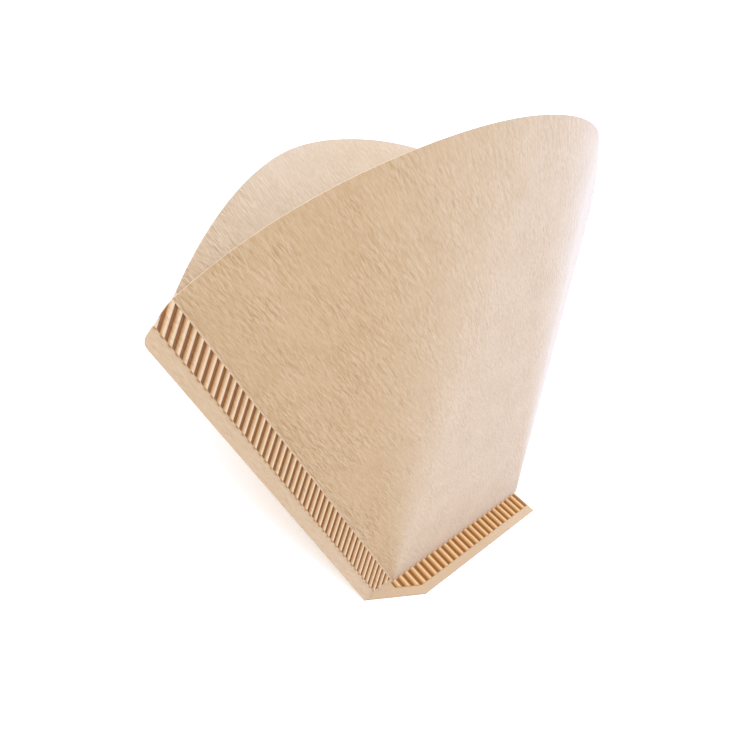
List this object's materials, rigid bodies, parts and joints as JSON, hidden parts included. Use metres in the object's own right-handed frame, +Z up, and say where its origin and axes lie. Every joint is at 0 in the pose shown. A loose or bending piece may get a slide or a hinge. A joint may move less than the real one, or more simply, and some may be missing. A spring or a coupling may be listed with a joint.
{
  "type": "paper coffee filter",
  "caption": "Unbleached paper coffee filter, a tapered pouch folded from one sheet, with crimped ribbed bands along its side and bottom seams and a curved open mouth.",
  "frame": {"origin": "on the floor under the middle of the filter's bounding box, as it lies on the flat of its back panel", "axes": "+X along the bottom seam from the side seam to the folded edge, +Y from the bottom seam to the mouth, +Z up from the back panel to the front panel"},
  "size_m": [0.1292, 0.1126, 0.0579],
  "materials": {
    "filter_paper": "unbleached creped filter paper, matt, light brown"
  },
  "bodies": {
    "root": {"paper_filter": "filter_paper"}
  },
  "joints": []
}
